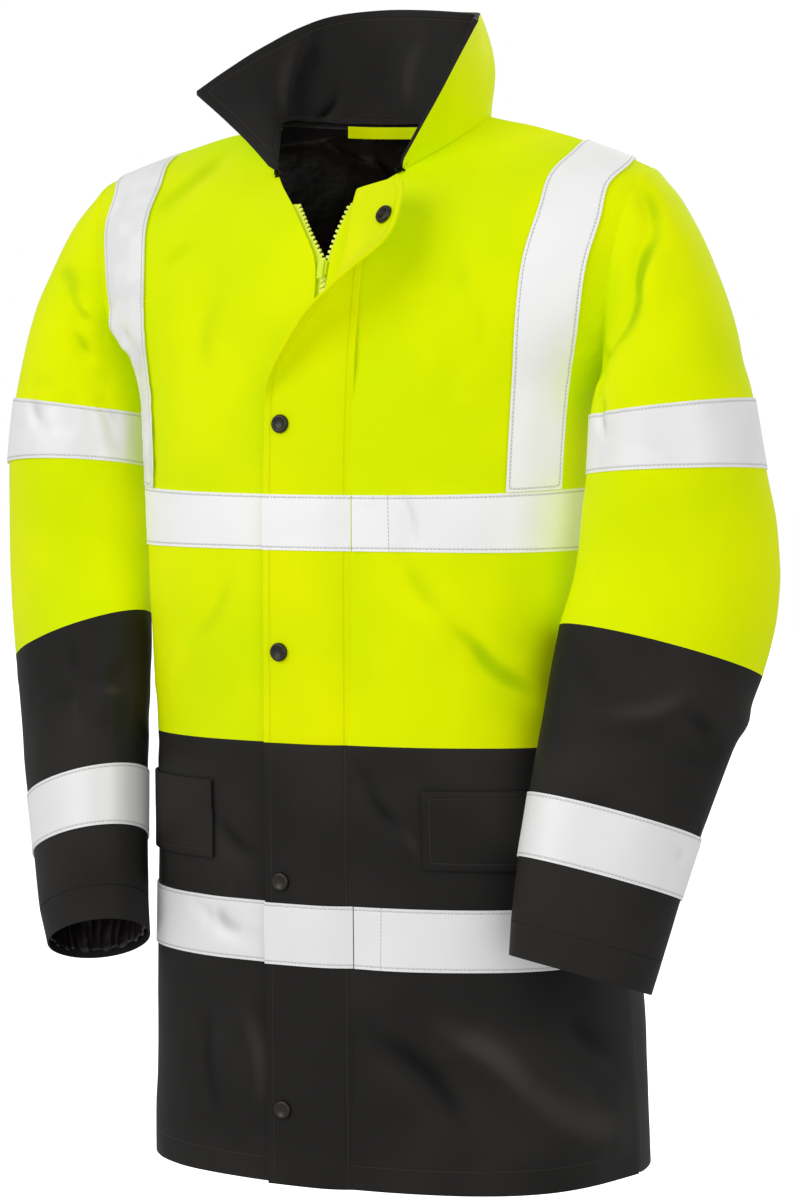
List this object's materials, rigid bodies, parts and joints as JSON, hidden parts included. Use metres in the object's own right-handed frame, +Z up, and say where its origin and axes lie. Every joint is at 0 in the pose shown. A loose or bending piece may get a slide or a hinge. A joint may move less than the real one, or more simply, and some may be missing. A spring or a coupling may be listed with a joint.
{
  "type": "hi-vis work jacket",
  "caption": "Padded hi-vis safety coat with a stand collar, storm flap over the front zip, pocket flaps and reflective tape, kept in its worn shape for a figure or hanger",
  "frame": {"origin": "on the body's axis at the base of the neck, where the wearer's shoulders carry the coat", "axes": "+Z up; the front faces -Y; +X is the wearer's left"},
  "size_m": [0.7042, 0.3743, 0.9652],
  "materials": {
    "hi_vis_yellow": "fluorescent yellow coated polyester, soft sheen",
    "black_cloth": "near-black coated polyester",
    "reflective_tape": "silver retro-reflective tape",
    "black_lining": "smooth black lining",
    "snap_metal": "dark coated metal snap",
    "zip_tape": "yellow woven zip tape",
    "yellow_plastic": "yellow moulded plastic"
  },
  "bodies": {
    "coat": {"arm_tape_lower_left": "reflective_tape", "arm_tape_lower_right": "reflective_tape", "arm_tape_upper_left": "reflective_tape", "arm_tape_upper_right": "reflective_tape", "back_lower": "black_cloth", "back_upper": "hi_vis_yellow", "chest_tape_back": "reflective_tape", "chest_tape_flap": "reflective_tape", "chest_tape_front_left": "reflective_tape", "chest_tape_front_right": "reflective_tape", "collar_inner": "black_cloth", "collar_outer": "hi_vis_yellow", "cuff_left": "black_cloth", "cuff_lining_left": "black_lining", "cuff_lining_right": "black_lining", "cuff_right": "black_cloth", "front_left_lower": "black_cloth", "front_left_upper": "hi_vis_yellow", "front_right_lower": "black_cloth", "front_right_upper": "hi_vis_yellow", "hang_loop": "hi_vis_yellow", "lower_tape_back": "reflective_tape", "lower_tape_flap": "reflective_tape", "lower_tape_front_left": "reflective_tape", "lower_tape_front_right": "reflective_tape", "neck_lining": "black_lining", "pocket_flap_left": "black_cloth", "pocket_flap_right": "black_cloth", "shoulder_tape_left": "reflective_tape", "shoulder_tape_right": "reflective_tape", "sleeve_lower_left": "black_cloth", "sleeve_lower_right": "black_cloth", "sleeve_upper_left": "hi_vis_yellow", "sleeve_upper_right": "hi_vis_yellow", "snap_1": "snap_metal", "snap_2": "snap_metal", "snap_3": "snap_metal", "snap_4": "snap_metal", "snap_socket": "snap_metal", "storm_flap_lower": "black_cloth", "storm_flap_upper": "hi_vis_yellow", "zip_slider": "yellow_plastic", "zip_tape_left": "zip_tape", "zip_tape_right": "zip_tape"},
    "zip_pull": {"zip_pull": "yellow_plastic"}
  },
  "joints": [
    {"name": "zip_pull_swing", "type": "hinge", "parent": "coat", "child": "zip_pull", "pos_m": [0, -0.14798, -0.11861], "axis": [-1, 0, 0], "range_deg": [0, 150]}
  ]
}
